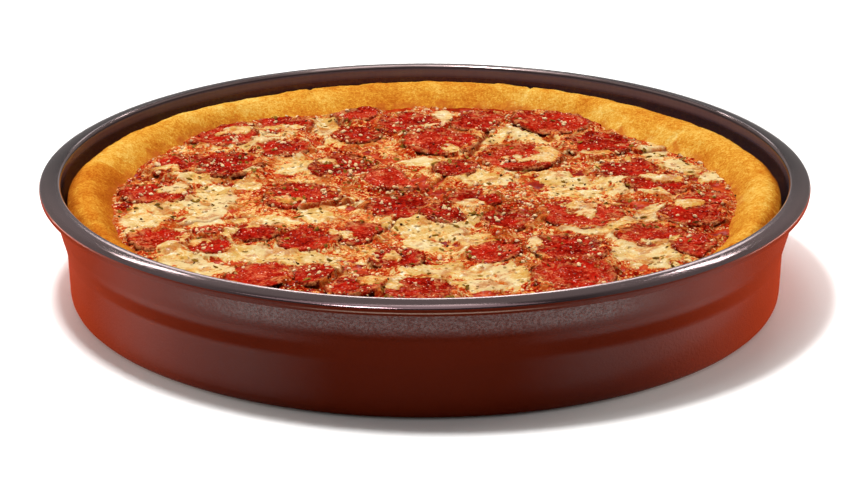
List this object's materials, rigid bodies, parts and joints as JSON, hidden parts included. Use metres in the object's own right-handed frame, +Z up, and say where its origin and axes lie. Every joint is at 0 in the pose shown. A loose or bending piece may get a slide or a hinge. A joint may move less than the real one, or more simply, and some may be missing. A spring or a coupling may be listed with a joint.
{
  "type": "deep dish pizza",
  "caption": "Deep dish pizza baked and served in its round dark metal pan, with a thick golden crust, sauce, melted cheese and pepperoni slices.",
  "frame": {"origin": "middle of the pan's underside, on the surface it stands on", "axes": "+Z up out of the pan, -Y towards the viewer of the shown side, +X to the viewer's right"},
  "size_m": [0.33, 0.33, 0.053],
  "materials": {
    "pan": "dark baked-on coating over spun metal, grey-brown on the flange and red-brown on the wall, semi-gloss",
    "crust": "golden baked bread crust, fine open grain, soft sheen",
    "sauce": "thick tomato sauce with oil, wet gloss",
    "cheese": "melted mozzarella, pale yellow with toasted spots, soft gloss",
    "pepperoni": "deep red cured sausage slice, mottled, oily gloss",
    "herbs": "dried green herb flakes and ground pepper, matte"
  },
  "bodies": {
    "root": {"pan": "pan", "crust": "crust", "sauce": "sauce", "cheese": "cheese", "pepperoni_01": "pepperoni", "pepperoni_02": "pepperoni", "pepperoni_03": "pepperoni", "pepperoni_04": "pepperoni", "pepperoni_05": "pepperoni", "pepperoni_06": "pepperoni", "pepperoni_07": "pepperoni", "pepperoni_08": "pepperoni", "pepperoni_09": "pepperoni", "pepperoni_10": "pepperoni", "pepperoni_11": "pepperoni", "pepperoni_12": "pepperoni", "pepperoni_13": "pepperoni", "pepperoni_14": "pepperoni", "pepperoni_15": "pepperoni", "pepperoni_16": "pepperoni", "pepperoni_17": "pepperoni", "pepperoni_18": "pepperoni", "pepperoni_19": "pepperoni", "pepperoni_20": "pepperoni", "pepperoni_21": "pepperoni", "pepperoni_22": "pepperoni", "pepperoni_23": "pepperoni", "pepperoni_24": "pepperoni", "pepperoni_25": "pepperoni", "pepperoni_26": "pepperoni", "pepperoni_27": "pepperoni", "pepperoni_28": "pepperoni", "pepperoni_29": "pepperoni", "pepperoni_30": "pepperoni", "pepperoni_31": "pepperoni", "pepperoni_32": "pepperoni", "pepperoni_33": "pepperoni", "pepperoni_34": "pepperoni", "pepperoni_35": "pepperoni", "pepperoni_36": "pepperoni", "pepperoni_37": "pepperoni", "pepperoni_38": "pepperoni", "pepperoni_39": "pepperoni", "pepperoni_40": "pepperoni", "pepperoni_41": "pepperoni", "pepperoni_42": "pepperoni", "pepperoni_43": "pepperoni"}
  },
  "joints": []
}
